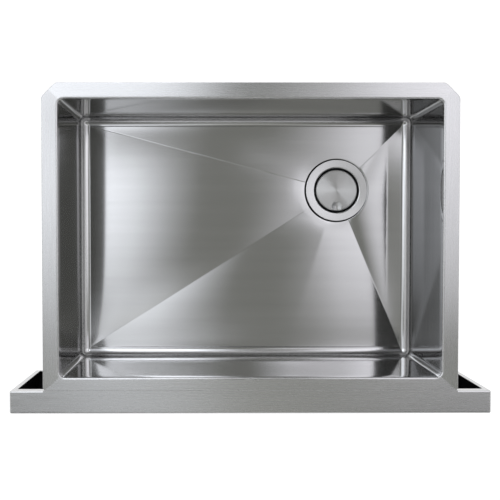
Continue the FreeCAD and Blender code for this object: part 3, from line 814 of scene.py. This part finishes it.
def build_cover():
    """The cover: domed, with a rolled edge and a hollow for the thumb."""
    flat = COVER - COVER_ROLL
    rings = []
    for k in range(COVER_RINGS + 1):
        share = (k / COVER_RINGS) ** COVER_CROWDING
        rings.append(cover_ring(COVER_MIDDLE + (flat - COVER_MIDDLE) * share))
    for sine, cosine in quarter_turn(ROLL_STEPS, first=1):
        rings.append(cover_ring(flat + COVER_ROLL * sine, COVER_ROLL * (1 - cosine)))
    rings.append(ring(DRAIN, COVER, COVER_FOOT, COVER_TURNS))
    made = add_object("cover_skin", ring_mesh("cover_skin", rings))
    made.data.flip_normals()
    made.data.materials.append(SPUN)
    thick = made.modifiers.new("sheet", "SOLIDIFY")
    thick.thickness = COVER_SHEET * MM
    thick.offset = -1.0
    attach(made, "cover")
    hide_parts("drain_cover")


build_painted_shadow_bead()
build_painted_shade_lip()
build_cover()


# Studio, in metres


def grey(*pairs):
    return [(position, (level, level, level)) for position, level in pairs]


CEILING = 1.5
CEILING_X = 2.0
CEILING_Y = 2.4
# How bright the ceiling is from left to right, in four rows from back to front
BACK = grey(
    (-1.6, 0.5), (-0.9, 1.0), (-0.44, 1.42), (-0.28, 1.6), (-0.14, 1.3), (-0.05, 0.5),
    (0.02, 0.0), (0.32, 0.0), (0.4, 0.4), (0.52, 0.84), (0.9, 0.86), (1.6, 0.4),
)
NEAR_BACK = grey(
    (-0.9, 1.3), (-0.66, 1.0), (-0.58, 0.4), (-0.45, 0.12), (-0.3, 0.02), (-0.2, 0.0),
    (0.08, 0.0), (0.16, 0.4), (0.24, 0.75), (0.34, 0.6), (0.5, 0.42), (0.66, 0.8), (0.9, 0.85),
)
MIDDLE = grey(
    (-1.6, 0.4), (-0.9, 1.05), (-0.6, 0.95), (-0.45, 0.86), (-0.35, 0.75), (-0.25, 0.48),
    (-0.15, 0.2), (-0.05, 0.0), (0.16, 0.0), (0.23, 0.05), (0.33, 0.2), (0.43, 0.4),
    (0.5, 0.54), (0.7, 0.64), (0.9, 0.95), (1.2, 0.9), (1.6, 0.4),
)
FRONT = grey(
    (-1.2, 0.0), (-0.62, 0.0), (-0.52, 1.0), (-0.4, 1.5), (-0.2, 1.35), (-0.1, 0.95),
    (-0.02, 0.4), (0.06, 0.1), (0.25, 0.0), (1.2, 0.0),
)
# From where to where the other rows take over, going back or forward from the middle one
TO_NEAR_BACK = (0.24, 0.38)
TO_BACK = (0.44, 0.6)
TO_FRONT = (-0.22, -0.4)
# How bright the whole is from front to back
DEPTH = grey(
    (-1.4, 0.05), (-0.75, 0.08), (-0.58, 0.2), (-0.4, 0.48), (-0.22, 0.8),
    (-0.05, 1.12), (0.11, 1.34), (0.28, 1.48), (0.45, 1.55), (1.4, 1.45),
)
# Both soft boxes are a little cool, the left one more so
TINT = ((-0.1, (0.955, 0.985, 1.06)), (0.3, (0.98, 0.97, 1.05)))
# A faint light over all of it, which shows in the gap: its colour, its strength, and its
# share from front to back
GAP_COLOUR = (1.0, 1.01, 0.94)
GAP_LIGHT = 0.24
GAP_SHARES = ((-1.1, 0.6), (-0.8, 1.4), (-0.52, 1.7), (-0.36, 1.0), (1.0, 1.0))
# In the front part the middle is brighter than the two ends
ENDS = grey(
    (-0.9, 0.5), (-0.5, 0.72), (-0.3, 0.9), (-0.08, 1.35), (0.15, 1.45), (0.3, 1.15),
    (0.5, 0.85), (0.8, 0.55),
)
TO_ENDS = (-0.38, -0.62)


def stage_plane(name, half_x, half_y, height):
    mesh = bpy.data.meshes.new(name)
    corners = [
        (-half_x, -half_y, height),
        (-half_x, half_y, height),
        (half_x, half_y, height),
        (half_x, -half_y, height),
    ]
    mesh.from_pydata(corners, [], [(0, 1, 2, 3)])
    made = add_object(name, mesh)
    return made


def ramp(tree, fac, stops):
    made = node(tree, "ShaderNodeValToRGB")
    elements = made.color_ramp.elements
    while len(elements) < len(stops):
        elements.new(0.5)
    for element, (position, colour) in zip(elements, stops):
        element.position = position
        element.color = (*colour, 1)
    tree.links.new(fac, made.inputs["Fac"])
    return made.outputs["Color"]


def profile(tree, value, reach, stops):
    """A ramp along one axis, with its stops in metres from the middle."""
    placed = [((position + reach) / (2 * reach), colour) for position, colour in stops]
    return ramp(tree, map_range(tree, value, (-reach, reach)), placed)


def build_ceiling():
    """Two big soft boxes, left and right, with a dark gap over the sink, dimmer to the front."""
    made = stage_plane("soft_boxes", CEILING_X, CEILING_Y, CEILING)
    material = bpy.data.materials.new("soft_boxes")
    material.use_nodes = True
    tree = material.node_tree
    tree.nodes.clear()
    place = node(tree, "ShaderNodeTexCoord")
    split = node(tree, "ShaderNodeSeparateXYZ")
    tree.links.new(place.outputs["Object"], split.inputs[0])
    x, y = split.outputs["X"], split.outputs["Y"]

    def row(stops):
        return profile(tree, x, CEILING_X, stops)

    def column(stops):
        return profile(tree, y, CEILING_Y, stops)

    def gives_way(first, second, places):
        return mix(tree, "RGBA", map_range(tree, y, places), first, second)

    def times(first, second):
        return mix(tree, "RGBA", 1.0, first, second, "MULTIPLY")

    light = gives_way(row(MIDDLE), row(NEAR_BACK), TO_NEAR_BACK)
    light = gives_way(light, row(BACK), TO_BACK)
    light = gives_way(light, row(FRONT), TO_FRONT)
    light = times(light, column(DEPTH))
    light = times(light, row(TINT))
    faint = []
    for position, share in GAP_SHARES:
        faint.append((position, tuple(GAP_LIGHT * share * part for part in GAP_COLOUR)))
    light = mix(tree, "RGBA", 1.0, light, column(faint), "ADD")
    light = gives_way(light, times(light, row(ENDS)), TO_ENDS)
    glow = node(tree, "ShaderNodeEmission")
    tree.links.new(light, glow.inputs["Color"])
    out = node(tree, "ShaderNodeOutputMaterial")
    tree.links.new(glow.outputs[0], out.inputs["Surface"])
    made.data.materials.append(material)
    made.visible_camera = False
    made.visible_shadow = False


FLOOR_REACH = 20.0
FLOOR_GAP = 0.0015
FLOOR_COLOUR = (0.25, 0.25, 0.25, 1)
FLOOR_ROUGHNESS = 0.9
FLOOR_GLOW = 0.93
WHITE = (1, 1, 1, 1)
WORLD_COLOUR = (0.92, 0.92, 0.93, 1)
WORLD_LIGHT = 0.9
CAMERA_SPOT = Vector((-0.0546, 0.0166, 1.3722))
CAMERA_TARGET = Vector((-0.0457, -0.0254, 0.0))
CAMERA_LENS = 62.9
CAMERA_SENSOR = 36.0
CAMERA_SHIFT = (0.0564, 0.0098)
CAMERA_CLIP = (0.05, 50.0)


def build_floor():
    """A plain pale floor that is open to views from below."""
    height = CAD_BOX[0][2] - FLOOR_GAP
    made = stage_plane("studio_floor", FLOOR_REACH, FLOOR_REACH, height)
    made.data.flip_normals()
    material, tree, shader = new_material("studio_floor")
    shader.inputs["Base Color"].default_value = FLOOR_COLOUR
    shader.inputs["Roughness"].default_value = FLOOR_ROUGHNESS
    shader.inputs["Emission Color"].default_value = WHITE
    shader.inputs["Emission Strength"].default_value = FLOOR_GLOW
    facing = node(tree, "ShaderNodeNewGeometry")
    clear = node(tree, "ShaderNodeBsdfTransparent")
    either = node(tree, "ShaderNodeMixShader")
    out = tree.nodes["Material Output"]
    tree.links.new(facing.outputs["Backfacing"], either.inputs[0])
    tree.links.new(shader.outputs[0], either.inputs[1])
    tree.links.new(clear.outputs[0], either.inputs[2])
    tree.links.new(either.outputs[0], out.inputs["Surface"])
    made.data.materials.append(material)


def build_world():
    world = bpy.data.worlds.new("studio")
    world.use_nodes = True
    background = world.node_tree.nodes["Background"]
    background.inputs["Color"].default_value = WORLD_COLOUR
    background.inputs["Strength"].default_value = WORLD_LIGHT
    bpy.context.scene.world = world


def build_camera():
    data = bpy.data.cameras.new("camera")
    made = add_object("camera", data)
    forward = (CAMERA_TARGET - CAMERA_SPOT).normalized()
    right = forward.cross(Vector((0, 1, 0))).normalized()
    up = right.cross(forward)
    turn = Matrix((right, up, -forward)).transposed()
    made.matrix_world = Matrix.Translation(CAMERA_SPOT) @ turn.to_4x4()
    data.lens = CAMERA_LENS
    data.sensor_width = CAMERA_SENSOR
    data.shift_x, data.shift_y = CAMERA_SHIFT
    data.clip_start, data.clip_end = CAMERA_CLIP
    bpy.context.scene.camera = made


build_ceiling()
build_floor()
build_world()
build_camera()
bpy.context.scene.view_settings.view_transform = "Standard"
